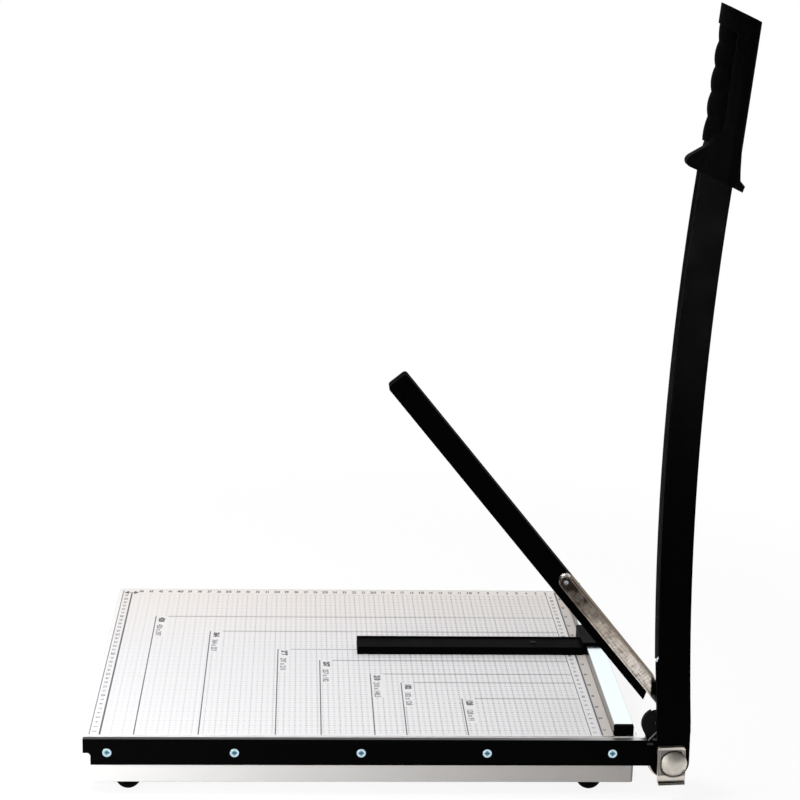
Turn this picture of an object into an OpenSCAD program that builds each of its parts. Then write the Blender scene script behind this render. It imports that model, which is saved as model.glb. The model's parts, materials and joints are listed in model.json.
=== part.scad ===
// Desk paper cutter: steel base with a printed board, a swinging knife arm,
// a clamp bar that comes down with the arm and a back gauge on a side rail.
// Millimetres. The cutting edge runs along X at the front, Z is up.
// The arm is drawn raised, and every hinge turns about an axis along Y.

/* [Base] */
// Width of the steel base
base_w = 481; // [360:1:600]
// Depth of the steel base
base_d = 375; // [280:1:480]
// Height of the base with its printed plate
base_h = 42; // [32:0.5:60]
// Sheet thickness of the base
shell_t = 1.2; // [0.8:0.1:2]
// Width of the inward lip under the side walls
lip_x = 58; // [50:1:80]
// Width of the inward lip under the front and back walls
lip_y = 30; // [26:1:60]

/* [Printed plate] */
// Thickness of the printed plate
plate_t = 1; // [0.6:0.1:2]
// Bare strip in front of the printed plate
plate_front = 3.6; // [2:0.1:8]
// Bare strip beside the printed plate on the left
plate_left = 3; // [1:0.1:8]
// Bare strip behind the printed plate
plate_back = 4.5; // [1:0.1:8]

/* [Feet] */
// Diameter of a rubber foot at its top
foot_d = 23; // [18:0.5:30]
// Height of a rubber foot
foot_h = 10.5; // [8:0.1:14]
// Foot centre from the side of the base
foot_in_x = 37.5; // [30:0.5:45]
// Foot centre from the front or back of the base
foot_in_y = 14; // [13:0.5:18]

/* [Fixed blade] */
// Thickness of the fixed blade bar
bar_t = 5; // [4:0.1:8]
// Height of the fixed blade bar
bar_h = 24; // [20:0.5:30]
// First bar screw from the left end of the bar
screw_in = 20.8; // [16:0.1:30]
// Last bar screw from the left face of the rail
screw_x = -2; // [-10:0.1:6]
// Bar screws below the cutting edge
screw_drop = 12.7; // [10:0.1:16]
// Head diameter of a bar screw
screw_head = 8; // [7:0.1:9]

/* [Rail] */
// Left face of the rail from the right side of the base
rail_in = 18; // [14:0.5:24]
// Width of the rail
rail_w = 17.4; // [12:0.1:20]
// Height of the rail above the board
rail_h = 9.4; // [6:0.1:14]
// Front of the rail cap behind the cutting plane
rail_front = 11; // [8:0.5:20]
// Visible length of a rail cap
cap_l = 3; // [2:0.1:8]

/* [Knife arm] */
// Pivot to the right of the rail
pivot_x = 50.5; // [46:0.1:56]
// Pivot below the board
pivot_drop = 17.2; // [12:0.1:20]
// Width of the arm with its blade
arm_w = 29.7; // [24:0.1:36]
// Thickness of the arm
arm_t = 5; // [4:0.1:7]
// Radius of the sabre curve
bow_r = 2660; // [1800:10:4000]
// Cutting edge to the right of the rail where the curve is flattest
edge_x = 26.4; // [24:0.1:30]
// Height above the board where the curve is flattest
bow_z = 219; // [180:1:260]
// Radius of the arm's lower end
end_r = 13.7; // [13:0.1:17]
// Thickness of the moving blade
blade_t = 3; // [2:0.1:4]
// Width of the moving blade
blade_w = 18; // [12:0.5:24]
// Ground edge that shows beside the arm
edge_w = 2.2; // [1.5:0.1:3]
// Lower end of the blade above the board
heel_z = 77; // [70:0.5:90]
// Gap between the moving blade and the fixed blade
blade_gap = 0.25; // [0.15:0.01:0.5]

/* [Handle] */
// Right edge of the grip at the guard, from the rail
grip_x = 74; // [70:0.1:78]
// Bottom of the grip's right edge above the board
grip_z = 503.4; // [490:0.1:520]
// Length of the grip's right edge
grip_l = 118.7; // [100:0.1:130]
// Lean of the grip
grip_lean = 5.22; // [0:0.01:10]
// Thickness of the grip
grip_t = 27; // [22:0.5:34]
// Width of the grip
grip_w = 33.7; // [28:0.1:40]
// Rounding of the grip's edges at the palm
grip_r = 10; // [4:0.5:12]
// Thickness of the finger guard in front of the arm
guard_t = 8; // [5:0.5:10]

/* [Clamp] */
// Clamp pin to the right of the rail
clamp_x = 54; // [50:0.1:58]
// Clamp pin above the board
clamp_z = 8; // [6:0.1:12]
// Clamp angle when raised
clamp_up = 50.6; // [40:0.1:60]
// Height of the clamp bar
clamp_h = 19.3; // [16:0.1:24]
// Depth of the clamp bar's flanges
clamp_d = 14; // [10:0.5:16]
// Sheet thickness of the clamp bar
clamp_t = 1.5; // [1:0.1:2]
// Bottom of the clamp bar below the pin when closed
clamp_low = 5.9; // [5:0.1:7]
// Near end of the clamp bar from the pin
clamp_near = 42; // [38:0.5:46]
// Far end of the clamp bar from the pin
clamp_far = 402; // [330:1:430]
// Width of the plated lever
lever_w = 11.8; // [9:0.1:14]
// Lever below the top of the clamp bar
lever_in = 0.4; // [0:0.1:3]
// Radius of the lever's hub
hub_r = 12.2; // [10:0.1:14]
// Thickness of the plated lever
lever_t = 2; // [1.5:0.1:3]
// Rivet from the pin along the lever
rivet_l = 171.8; // [140:0.1:200]

/* [Clamp spring] */
// Mean radius of the spring's curls
coil_r = 11; // [10:0.1:11.6]
// Radius of the spring wire
wire_r = 0.8; // [0.6:0.05:0.85]
// Rise of one curl
coil_pitch = 2.1; // [2:0.05:2.4]

/* [Hinge bracket] */
// Thickness of the hinge bracket
bracket_t = 4; // [3:0.1:6]
// Bracket behind the cutting plane
bracket_y = 10; // [9.5:0.1:12]
// Radius of the round ear
ear_r = 14; // [12:0.1:18]
// Ear centre to the right of the rail
ear_x = 38; // [34:0.1:44]
// Ear centre above the board
ear_z = 11; // [6:0.1:14]
// Right end of the bar and bracket from the rail
hinge_end = 62.5; // [60:0.1:64]
// Radius of the plated rim behind the bar's end
rim_r = 22.2; // [21:0.1:24]

/* [Pivot] */
// Radius of the pivot bolt
bolt_r = 6; // [5:0.1:7]
// Radius of the bolt's domed head
dome_r = 11.5; // [10:0.1:12.5]
// Height of the domed head
dome_h = 4; // [3:0.1:8]
// Width of the tension plate
tension_w = 24.4; // [24:0.1:30]
// Height of the tension plate
tension_h = 35; // [32:0.1:40]
// Running clearance of a turning fit
run_gap = 0.06; // [0.02:0.01:0.1]

/* [Back gauge] */
// Length of the gauge bar
gauge_l = 217.5; // [150:0.5:300]
// Depth of the gauge bar
gauge_d = 25.5; // [18:0.5:32]
// Height of the gauge bar
gauge_h = 8; // [6:0.1:9]
// Gauge front behind the cutting plane as drawn
gauge_y = 197.5; // [60:0.5:250]
// Length of the slider
slider_l = 48; // [36:0.5:60]
// Thickness of the slider's top
slider_t = 2.8; // [2.4:0.1:4]

/* [Hidden] */
$fn = 64;
// The origin is under the middle of the whole object with its arm raised
mid_x = (grip_x + grip_l * sin(grip_lean) - rail_in) / 2;
mid_y = -(bar_t + blade_gap + blade_t + arm_t / 2 + grip_t / 2 + 0.7) / 2;
xl = -base_w / 2 - mid_x;
xe = base_w / 2 - mid_x;
yf = -base_d / 2 - mid_y;
yb = base_d / 2 - mid_y;
xr = xe - rail_in;
yc = yf - bar_t;
zt = foot_h + base_h;
zs = zt - plate_t;
px = xr + pivot_x;
pz = zt - pivot_drop;
cx = xr + clamp_x;
cz = zt + clamp_z;
arm_y1 = yc - blade_gap - blade_t;
arm_y0 = arm_y1 - arm_t;
lean = [sin(grip_lean), cos(grip_lean)];
arm_top = grip_z + 8.6;
screw_pitch = (xr + screw_x - xl - screw_in) / 4;
screw_xs = [for (i = [0 : 4]) xr + screw_x - i * screw_pitch];
foot_xs = [xl + foot_in_x, xe - foot_in_x];
foot_ys = [yf + foot_in_y, yb - foot_in_y];
rail_y0 = yc + rail_front + cap_l;
rail_y1 = yb - 3 - cap_l;
rail_ys = [rail_y0 + 40, (rail_y0 + rail_y1) / 2, rail_y1 - 40];
bracket_ys = [yc + bracket_y + 26, yc + bracket_y + 50];
bracket_z = zt - 12.5;
lever_y = yc + 1.5;
web_y = lever_y + lever_t;
lever_top = clamp_h - clamp_low - lever_in;
lever_mid = lever_top - lever_w / 2;
coil_y = web_y + 0.2 + wire_r;
leg_x = -24.5;
leg_z = -10;
tension_y = arm_y0 - 0.25 - 2.6;
gy = yc + gauge_y;

// Helpers

// An upright sheet: its outline is drawn in X and Z
module upright(y0, t) {
  translate([0, y0 + t, 0]) rotate([90, 0, 0]) linear_extrude(t) children();
}

// A round bar along Y
module rod(x, z, y0, l, r) {
  translate([x, y0 + l, z]) rotate([90, 0, 0]) cylinder(h = l, r = r);
}

// A round bar along Z
module stick(x, y, z0, l, r) {
  translate([x, y, z0]) cylinder(h = l, r = r);
}

// A box given by two corners
module block(a, b) {
  translate(a) cube(b - a);
}

// A six-sided nut along Z
module hex_nut(r, h, hole) {
  difference() {
    cylinder(h = h, r = r, $fn = 6);
    translate([0, 0, -1]) cylinder(h = h + 2, r = hole);
  }
}

// A cross recess cut downwards from the origin
module cross(w, t, h) {
  translate([-w / 2, -t / 2, -h]) cube([w, t, h + 1]);
  translate([-t / 2, -w / 2, -h]) cube([t, w, h + 1]);
}

// A rectangle with round corners, from corner a to corner b
module round_rect(a, b, r) {
  translate([a[0] + r, a[1]]) square([b[0] - a[0] - 2 * r, b[1] - a[1]]);
  translate([a[0], a[1] + r]) square([b[0] - a[0], b[1] - a[1] - 2 * r]);
  for (x = [a[0] + r, b[0] - r], z = [a[1] + r, b[1] - r]) translate([x, z]) circle(r = r);
}

// Places the clamp as raised, from a drawing with the bar level and the pin at zero
module clamp_pose() {
  translate([cx, 0, cz]) rotate([0, clamp_up, 0]) children();
}

// Base

module base_shell() {
  color("Gainsboro") difference() {
    translate([0, 0, foot_h]) linear_extrude(zs - foot_h) round_rect([xl, yf], [xe, yb], 3);
    translate([0, 0, foot_h + shell_t]) linear_extrude(zs - foot_h - 2 * shell_t)
      round_rect([xl + shell_t, yf + shell_t], [xe - shell_t, yb - shell_t], 3 - shell_t);
    block([xl + lip_x, yf + lip_y, foot_h - 1],
      [xe - lip_x, yb - lip_y, foot_h + shell_t + 1]);
    for (x = screw_xs) rod(x, zt - screw_drop, yf - 1, shell_t + 2, 2.6);
    for (x = foot_xs, y = foot_ys) stick(x, y, foot_h - 1, shell_t + 2, 2.2);
    for (y = rail_ys) stick(xr + rail_w / 2, y, zs - shell_t - 1, shell_t + 2, 2.2);
    for (y = bracket_ys)
      translate([xe - shell_t - 1, y, bracket_z]) rotate([0, 90, 0])
        cylinder(h = shell_t + 2, r = 2.7);
  }
}

module base_rib() {
  h = 18;
  w = 36;
  z1 = zs - shell_t;
  color("Silver") for (y = [-60, 60]) translate([0, -mid_y, 0]) difference() {
    block([xl + shell_t + 6, y - w / 2, z1 - h],
      [xe - shell_t - 16, y + w / 2, z1]);
    block([xl, y - w / 2 + 1.2, z1 - h + 1.2],
      [xe, y + w / 2 - 1.2, z1 + 1]);
  }
}

module top_plate() {
  color("White") translate([0, 0, zs]) linear_extrude(plate_t)
    round_rect([xl + plate_left, yf + plate_front],
      [xr - 0.2, yb - plate_back], 2);
}

module rubber_foot() {
  r = foot_d / 2;
  color("DimGray") for (x = foot_xs, y = foot_ys) translate([x, y, 0]) difference() {
    intersection() {
      translate([0, 0, foot_h]) sphere(r = r);
      translate([-r, -r, 0]) cube([2 * r, 2 * r, foot_h]);
    }
    translate([0, 0, -1]) cylinder(h = 5, r = 3.6);
    translate([0, 0, -1]) cylinder(h = foot_h + 2, r = 2.2);
  }
}

module foot_screw() {
  color("Silver") for (x = foot_xs, y = foot_ys) translate([x, y, 0]) difference() {
    union() {
      translate([0, 0, 1.6]) cylinder(h = 2.4, r = 3.3);
      translate([0, 0, 1.6]) cylinder(h = foot_h + shell_t + 2.8, r = 2);
    }
    translate([0, 0, 1.6]) mirror([0, 0, 1]) cross(3.4, 0.9, 1.4);
  }
}

module foot_nut() {
  color("Silver") for (x = foot_xs, y = foot_ys)
    translate([x, y, foot_h + shell_t]) hex_nut(4, 3.2, 2.03);
}

// Fixed blade

module fixed_blade_outline() {
  left = xl;
  difference() {
    union() {
      translate([left, zt - bar_h]) square([xr + pivot_x - left, bar_h]);
      translate([px, pz]) circle(r = rim_r - 2);
    }
    // The cut corner at the left end
    translate([left - 1, zt - bar_h - 1]) square([4.6, bar_h - 13 + 1]);
    translate([left - 1, zt - bar_h - 1]) square([7.6, bar_h - 16 + 1]);
    translate([left + 3.6, zt - 16]) circle(r = 3);
    // Room for the lever's hub and the spring at the right end
    translate([xr + 37, zt - 6.8]) square([60, 40]);
    translate([xr + hinge_end, zt - 60]) square([60, 80]);
    // The notch that holds the spring's leg
    translate([xr + 27.6, zt - 4.2]) square([5.6, 10]);
  }
}

module fixed_blade() {
  color("DarkSlateGray") difference() {
    upright(yc, bar_t) fixed_blade_outline();
    rod(px, pz, yc - 1, bar_t + 2, bolt_r + 0.1);
    for (x = screw_xs) {
      rod(x, zt - screw_drop, yc - 1, bar_t + 2, 2.6);
      translate([x, yc - 0.01, zt - screw_drop]) rotate([-90, 0, 0])
        cylinder(h = 2.5, r1 = screw_head / 2 + 0.15, r2 = 2.6);
    }
  }
}

module bar_screw() {
  r = screw_head / 2;
  color("LightSteelBlue") for (x = screw_xs)
    translate([x, yc + 0.12, zt - screw_drop]) rotate([-90, 0, 0]) difference() {
      union() {
        cylinder(h = 2.2, r1 = r, r2 = 2.45);
        cylinder(h = bar_t + shell_t + 5.5, r = 2.45);
      }
      mirror([0, 0, 1]) cross(4.6, 1, 1.5);
    }
}

module bar_nut() {
  color("Silver") for (x = screw_xs)
    translate([x, yf + shell_t, zt - screw_drop]) rotate([-90, 0, 0]) hex_nut(4.6, 4, 2.48);
}

// Paper rail

module rail_section(r) {
  round_rect([0, 0], [rail_w, rail_h + plate_t], r);
}

module paper_rail() {
  l = rail_y1 - rail_y0;
  color("WhiteSmoke") difference() {
    translate([xr, rail_y1, zs]) rotate([90, 0, 0]) linear_extrude(l) difference() {
      rail_section(0.8);
      translate([1.4, 2.6]) square([rail_w - 2.8, rail_h + plate_t - 4]);
    }
    for (y = rail_ys) stick(xr + rail_w / 2, y, zs - 1, 4.6, 1.75);
  }
}

module rail_cap(y0, plug_y0) {
  color("Black") {
    translate([xr, y0 + cap_l, zs]) rotate([90, 0, 0]) linear_extrude(cap_l) rail_section(1.4);
    block([xr + 1.7, plug_y0, zs + 2.9], [xr + rail_w - 1.7, plug_y0 + 8, zs + rail_h - 0.7]);
  }
}

module rail_cap_front() {
  rail_cap(rail_y0 - cap_l, rail_y0);
}

module rail_cap_back() {
  rail_cap(rail_y1, rail_y1 - 8);
}

module rail_screw() {
  z0 = zs - shell_t;
  color("Silver") for (y = rail_ys) translate([xr + rail_w / 2, y, 0]) difference() {
    union() {
      translate([0, 0, z0 - 2.2]) cylinder(h = 2.2, r = 3.3);
      translate([0, 0, z0 - 2.2]) cylinder(h = 2.2 + shell_t + 4.4, r = 1.72);
    }
    translate([0, 0, z0 - 2.2]) mirror([0, 0, 1]) cross(3.4, 0.9, 1.2);
  }
}

// Hinge bracket and pivot

module hinge_bracket() {
  color("Black") difference() {
    union() {
      upright(yc + bracket_y, bracket_t) {
        translate([xr + rail_in, zt - 22]) square([hinge_end - rail_in, 20]);
        translate([xr + ear_x, zt + ear_z]) circle(r = ear_r);
        translate([cx, cz]) circle(r = 9);
        // The web between the ear, the pin and the foot of the bracket
        polygon([[xr + ear_x - ear_r * 0.99, zt + ear_z - 2], [xr + ear_x - ear_r * 0.62, zt - 4],
          [xr + hinge_end, zt - 4], [cx + 8.4, cz], [cx + 2, cz + 8.5],
          [xr + ear_x + 2, zt + ear_z + ear_r * 0.98]]);
        intersection() {
          translate([px, pz]) circle(r = rim_r - 2.4);
          translate([xr, zt - 60]) square([hinge_end, 60]);
        }
      }
      block([xe, yc + bracket_y, zt - 22], [xe + 3, yc + bracket_y + 62, zt - 3]);
    }
    rod(px, pz, yc, 40, bolt_r + 0.1);
    rod(cx, cz, yc, 40, 4.02);
    for (y = bracket_ys)
      translate([xe - 1, y, bracket_z]) rotate([0, 90, 0]) cylinder(h = 6, r = 2.7);
  }
}

module bracket_screw() {
  x1 = xe + 3;
  color("Silver") for (y = bracket_ys) translate([x1, y, bracket_z]) rotate([0, -90, 0])
    difference() {
      union() {
        translate([0, 0, -3]) cylinder(h = 3, r = 4.3);
        cylinder(h = 3 + shell_t + 4.8, r = 2.45);
      }
      translate([0, 0, -3]) mirror([0, 0, 1]) cross(4.4, 1, 1.6);
    }
}

module bracket_nut() {
  x0 = xe - shell_t;
  color("Silver") for (y = bracket_ys) translate([x0, y, bracket_z]) rotate([0, -90, 0])
    hex_nut(4.6, 4, 2.48);
}

module pivot_rim() {
  y0 = yc + bar_t;
  color("Silver") difference() {
    upright(y0, bracket_y - bar_t) intersection() {
      translate([px, pz]) circle(r = rim_r);
      translate([px - 40, zt - 60]) square([hinge_end - pivot_x + 40, 60 - 6.8]);
    }
    rod(px, pz, yc, 40, bolt_r + 0.1);
  }
}

module pivot_bolt() {
  y0 = tension_y;
  s = (dome_r * dome_r + dome_h * dome_h) / (2 * dome_h);
  color("Silver") {
    intersection() {
      translate([px, y0 - dome_h + s, pz]) sphere(r = s, $fn = 96);
      rod(px, pz, y0 - dome_h - 1, dome_h + 1, dome_r);
    }
    rod(px, pz, y0 - 0.01, yc + bracket_y + bracket_t + 19 - y0, bolt_r);
  }
}

module tension_plate() {
  x0 = px - tension_w / 2 - 2.4;
  x1 = x0 + tension_w;
  z1 = zt - 1;
  z0 = z1 - tension_h;
  color("Silver") translate([px, 0, pz]) rotate([0, -2.5, 0]) translate([-px, 0, -pz]) difference() {
    union() {
      upright(tension_y, 2.6) round_rect([x0, z0], [x1, z1], 3);
      // The raised rim on three sides
      upright(tension_y - 1.4, 1.5) difference() {
        round_rect([x0, z0 + 8], [x1, z1], 3);
        round_rect([x0 + 2.2, z0 - 8], [x1 - 2.2, z1 - 2.4], 2);
      }
      // The lip turned out at the bottom
      block([x0 + 0.6, tension_y - 2.6, z0], [x1 - 0.6, tension_y + 1, z0 + 2]);
    }
    rod(px, pz, tension_y - 9, 20, bolt_r + 0.05);
    rod(px, pz, tension_y - 9, 9, dome_r + 0.4);
  }
}

module arm_washer() {
  color("Goldenrod") difference() {
    rod(px, pz, yc - blade_t, blade_t, 13);
    rod(px, pz, yc - 20, 40, bolt_r + 0.05);
  }
}

module pivot_bush() {
  color("Goldenrod") difference() {
    rod(px, pz, arm_y0, arm_t, bolt_r + 2);
    rod(px, pz, arm_y0 - 1, arm_t + 2, bolt_r + run_gap);
  }
}

module cup_spring() {
  y0 = yc + bracket_y + bracket_t;
  color("Silver") translate([px, y0, pz]) rotate([-90, 0, 0]) rotate_extrude() {
    polygon([[bolt_r + 0.3, 1.2], [12, 0], [12, 1.2], [bolt_r + 0.3, 2.4]]);
    polygon([[bolt_r + 0.3, 2.4], [12, 3.6], [12, 4.8], [bolt_r + 0.3, 3.6]]);
  }
}

module back_washer() {
  y0 = yc + bracket_y + bracket_t + 4.8;
  color("Silver") difference() {
    rod(px, pz, y0, 2, 12);
    rod(px, pz, y0 - 1, 4, bolt_r + 0.2);
  }
}

module pivot_nut() {
  y0 = yc + bracket_y + bracket_t + 6.8;
  color("Silver") translate([px, y0, pz]) rotate([-90, 0, 0]) hex_nut(10.4, 9, bolt_r + 0.03);
}

// Knife arm

// Left edge of the bowed arm at height z, for an edge at x where it is flattest
function bow_at(x, z) = x + bow_r - sqrt(bow_r * bow_r - (z - bow_z) * (z - bow_z));

// Points along a bowed edge from height z1 to height z2
function bow_line(x, z1, z2) = [for (i = [0 : 24]) let (z = z1 + (z2 - z1) * i / 24)
  [xr + bow_at(x, z), zt + z]];

// A point of the handle, in parts of its width and length, from the guard's right end
function grip_at(x, z) = [x * grip_w, z * grip_l];

// The same point where the handle stands
function on_grip(q) = [xr + grip_x + q[0] * lean[1] + q[1] * lean[0],
  zt + grip_z - q[0] * lean[0] + q[1] * lean[1]];

// The tang inside the handle, from right to left, g wider all round
function tang(g) = [for (q = [[-0.23, 0.067, 1], [-0.23, 0.775, 1], [-0.48, 0.775, -1], [-0.48, 0.061, -1]])
  on_grip(grip_at(q[0], q[1])) + [q[2] * g, g]];

module knife_arm() {
  right = edge_x + arm_w;
  low = heel_z - 4;
  color("Black") difference() {
    upright(arm_y0, arm_t) polygon(concat(
      bow_line(edge_x + edge_w, arm_top, low),
      [[xr + bow_at(edge_x, low), zt + low]],
      [for (a = [180 : 7.5 : 360]) [px + end_r * cos(a), pz + end_r * sin(a)]],
      bow_line(right, 20, arm_top),
      tang(0)
    ));
    rod(px, pz, arm_y0 - 1, arm_t + 2, bolt_r + 2);
    for (p = rivet_spots()) rod(p[0], p[1], arm_y1 - 3, 4, 2.5);
    for (p = grip_spots()) rod(p[0], p[1], arm_y0 - 1, arm_t + 2, 2.2);
  }
}

// Places of the blade's rivets, along the curve
function rivet_spots() = [for (i = [0 : 5]) let (z = heel_z + 18 + i * 76)
  [xr + bow_at(edge_x + 11, z), zt + z]];

// Places of the grip's screws, on the tang
function grip_spots() = [for (k = [0.224, 0.689]) on_grip(grip_at(-0.362, k))];

module moving_blade() {
  y0 = arm_y1;
  color("Silver") difference() {
    intersection() {
      translate([xr + edge_x + bow_r, y0 + blade_t, zt + bow_z]) rotate([90, 0, 0])
        difference() {
          cylinder(h = blade_t, r1 = bow_r, r2 = bow_r - blade_t, $fn = 1440);
          translate([0, 0, -1]) cylinder(h = blade_t + 2, r = bow_r - blade_w, $fn = 1440);
        }
      block([xr, y0 - 1, zt + heel_z], [xr + 100, y0 + blade_t + 1, zt + grip_z + 1.8]);
    }
    for (p = rivet_spots()) {
      rod(p[0], p[1], y0 - 1, blade_t + 2, 2.5);
      translate([p[0], y0 + blade_t + 0.01, p[1]]) rotate([90, 0, 0])
        cylinder(h = 1.5, r1 = 4, r2 = 2.5);
    }
  }
}

module blade_rivet() {
  y1 = arm_y1 + blade_t - 0.05;
  color("Gray") for (p = rivet_spots()) translate([p[0], y1, p[1]]) rotate([90, 0, 0]) {
    cylinder(h = 1.4, r1 = 3.9, r2 = 2.45);
    cylinder(h = blade_t + 2.8, r = 2.45);
  }
}

// Handle

// Places the handle, from a drawing with its right edge upright and the guard at zero
module grip_pose() {
  translate([xr + grip_x, (arm_y0 + arm_y1) / 2, zt + grip_z]) rotate([0, grip_lean, 0]) children();
}

// Main outline of the grip, without the finger insert
module grip_outline() {
  polygon([for (q = [[-1, 1.098], [0, 1], [0, 0], [0.02, -0.07], [-0.126, -0.118], [-0.988, -0.03],
    [-0.859, 0.171], [-0.754, 0.214], [-0.57, 0.253], [-0.58, 0.914], [-1, 0.962]]) grip_at(q[0], q[1])]);
}

// The finger guard with its nose on the left and its fin on the right
module guard_outline() {
  polygon([for (q = [[-0.493, 0.238], [-0.777, 0.175], [-0.837, 0.156], [-1.279, 0.065], [-1.249, -0.006],
    [-0.988, -0.03], [-0.126, -0.118], [0.125, -0.145], [0.163, -0.101], [0.033, -0.067], [0, 0],
    [-0.045, 0.139]]) grip_at(q[0], q[1])]);
  translate(grip_at(-1.196, 0.031)) circle(r = 4.6);
}

// The recess for the finger insert, g smaller all round
module insert_outline(g) {
  polygon([grip_at(-1.3, 0.999) - [0, g], grip_at(-0.58, 0.914) - [g, g],
    grip_at(-0.57, 0.253) + [-g, g], grip_at(-0.754, 0.214) + [-g, g], grip_at(-0.859, 0.171) + [-g, g],
    grip_at(-1.3, 0.171) + [0, g]]);
}

// The cross-section of the grip: half round at the fingers, rounded at the palm
module grip_section(t, r) {
  x0 = -grip_w + t / 2;
  translate([0, 0, -40]) linear_extrude(grip_l + 80) {
    translate([x0, 0]) circle(r = t / 2);
    translate([x0, -t / 2]) square([-r - x0, t]);
    translate([x0, r - t / 2]) square([-x0, t - 2 * r]);
    for (y = [r - t / 2, t / 2 - r]) translate([-r, y]) circle(r = r);
  }
}

// Room for the arm and its tang inside the grip
module grip_pocket() {
  g = 0.2;
  upright(arm_y0 - 0.05, arm_t + 0.1) polygon(concat(
    bow_line(edge_x + edge_w - g, arm_top + g, arm_top - 42),
    bow_line(edge_x + arm_w + g, arm_top - 42, arm_top + g),
    tang(g)
  ));
}

module grip_front() {
  ym = (arm_y0 + arm_y1) / 2;
  color("Black") difference() {
    grip_pose() {
      intersection() {
        upright(-grip_t / 2, grip_t / 2) grip_outline();
        grip_section(grip_t, grip_r);
      }
      upright(-arm_t / 2 - guard_t, arm_t / 2 + guard_t) guard_outline();
      // The long spine on the face
      upright(-grip_t / 2 - 0.7, 1.4)
        polygon([for (q = [[-0.57, 0.9], [-0.38, 0.895], [-0.356, 0.305], [-0.56, 0.27]])
          grip_at(q[0], q[1])]);
    }
    grip_pocket();
    for (p = grip_spots()) rod(p[0], p[1], ym - 7, 20, 1.7);
  }
}

module grip_back() {
  ym = (arm_y0 + arm_y1) / 2;
  color("Black") difference() {
    intersection() {
      grip_pose() intersection() {
        upright(0, grip_t / 2) grip_outline();
        grip_section(grip_t, grip_r);
      }
      block([xr, ym - 1, zt + grip_z + 2.6], [xr + 140, ym + grip_t, zt + grip_z + 160]);
    }
    grip_pocket();
    for (p = grip_spots()) {
      rod(p[0], p[1], ym - 1, 30, 2.2);
      rod(p[0], p[1], ym + grip_t / 2 - 4, 10, 3.6);
    }
  }
}

// The finger insert: bumps turned about the middle of the fingers' side
module grip_insert() {
  r = grip_t / 2 - 0.8;
  valley = r - 1.7;
  ends = [[r - 0.3, 0.168], [valley, 0.334], [valley, 0.502], [valley, 0.672], [valley, 0.842],
    [r - 0.6, 0.975]];
  rise = [0.9, 1.7, 1.7, 1.7, 0.6];
  bumps = [for (i = [0 : 4], t = [0 : 0.125 : 0.99])
    [ends[i][0] + (ends[i + 1][0] - ends[i][0]) * t + 4 * rise[i] * t * (1 - t),
      (ends[i][1] + (ends[i + 1][1] - ends[i][1]) * t) * grip_l]];
  color("DimGray") grip_pose() intersection() {
    translate([-grip_w + grip_t / 2, 0, 0]) rotate_extrude()
      polygon(concat([[0, ends[0][1] * grip_l]], bumps, [[ends[5][0], ends[5][1] * grip_l],
        [0, ends[5][1] * grip_l]]));
    upright(-grip_t, 2 * grip_t) insert_outline(0.2);
  }
}

module grip_screw() {
  ym = (arm_y0 + arm_y1) / 2;
  y1 = ym + grip_t / 2 - 4;
  color("Silver") for (p = grip_spots()) translate([p[0], y1, p[1]]) rotate([90, 0, 0])
    difference() {
      union() {
        translate([0, 0, -2]) cylinder(h = 2, r = 3.3);
        cylinder(h = grip_t / 2 - 4 + 6.5, r = 1.68);
      }
      translate([0, 0, -2]) mirror([0, 0, 1]) cross(3.4, 0.9, 1.2);
    }
}

// Clamp

module clamp_lever() {
  color("Silver") clamp_pose() difference() {
    upright(lever_y, lever_t) {
      circle(r = hub_r);
      translate([-rivet_l, lever_top - lever_w]) square([rivet_l, lever_w]);
      translate([-rivet_l, lever_mid]) circle(r = lever_w / 2);
    }
    // The pressed panel that leaves a raised rim
    upright(lever_y - 1, 1.6) {
      translate([-rivet_l, lever_mid - lever_w / 2 + 1.4]) square([rivet_l - 18, lever_w - 2.8]);
      for (x = [-rivet_l, -18]) translate([x, lever_mid]) circle(r = lever_w / 2 - 1.4);
    }
    rod(0, 0, lever_y - 1, lever_t + 2, 7);
    rod(-rivet_l, lever_mid, lever_y - 1, lever_t + 2, 1.8);
  }
}

// Side view of the clamp bar: round at its free end, cut on a slant at the pin
module clamp_outline() {
  z0 = -clamp_low;
  z1 = z0 + clamp_h;
  translate([-clamp_far, z0 + 3]) square([clamp_far - clamp_near - 12, clamp_h - 6]);
  for (z = [z0 + 3, z1 - 3]) translate([3 - clamp_far, z]) circle(r = 3);
  polygon([[3 - clamp_far, z0], [-clamp_near, z0], [-clamp_near - 5, lever_top - lever_w + 1],
    [-20, lever_top - lever_w + 1], [-20, z1], [3 - clamp_far, z1]]);
}

module clamp_bar() {
  z0 = -clamp_low;
  z1 = z0 + clamp_h;
  y0 = web_y + clamp_t;
  color("Black") clamp_pose() difference() {
    upright(web_y, clamp_d) clamp_outline();
    block([clamp_t - clamp_far, y0, z0 + clamp_t], [0, y0 + clamp_d, z1 - clamp_t]);
    block([-56, y0, z0 - 1], [0, y0 + clamp_d, z1 + 1]);
    rod(-rivet_l, lever_mid, web_y - 1, clamp_t + 2, 1.8);
  }
}

module clamp_rivet() {
  color("Silver") clamp_pose() difference() {
    union() {
      rod(-rivet_l, lever_mid, lever_y - 0.4, 1, 2.9);
      rod(-rivet_l, lever_mid, lever_y - 0.4, lever_t + clamp_t + 1, 1.77);
      rod(-rivet_l, lever_mid, web_y + clamp_t, 1.2, 3.4);
    }
    rod(-rivet_l, lever_mid, lever_y - 1, 2, 1);
  }
}

module clamp_pad() {
  z0 = -clamp_low;
  color("DimGray") clamp_pose()
    block([-clamp_far + 4, web_y + 7, z0 - 1], [-58, web_y + clamp_d - 0.5, z0]);
}

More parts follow.
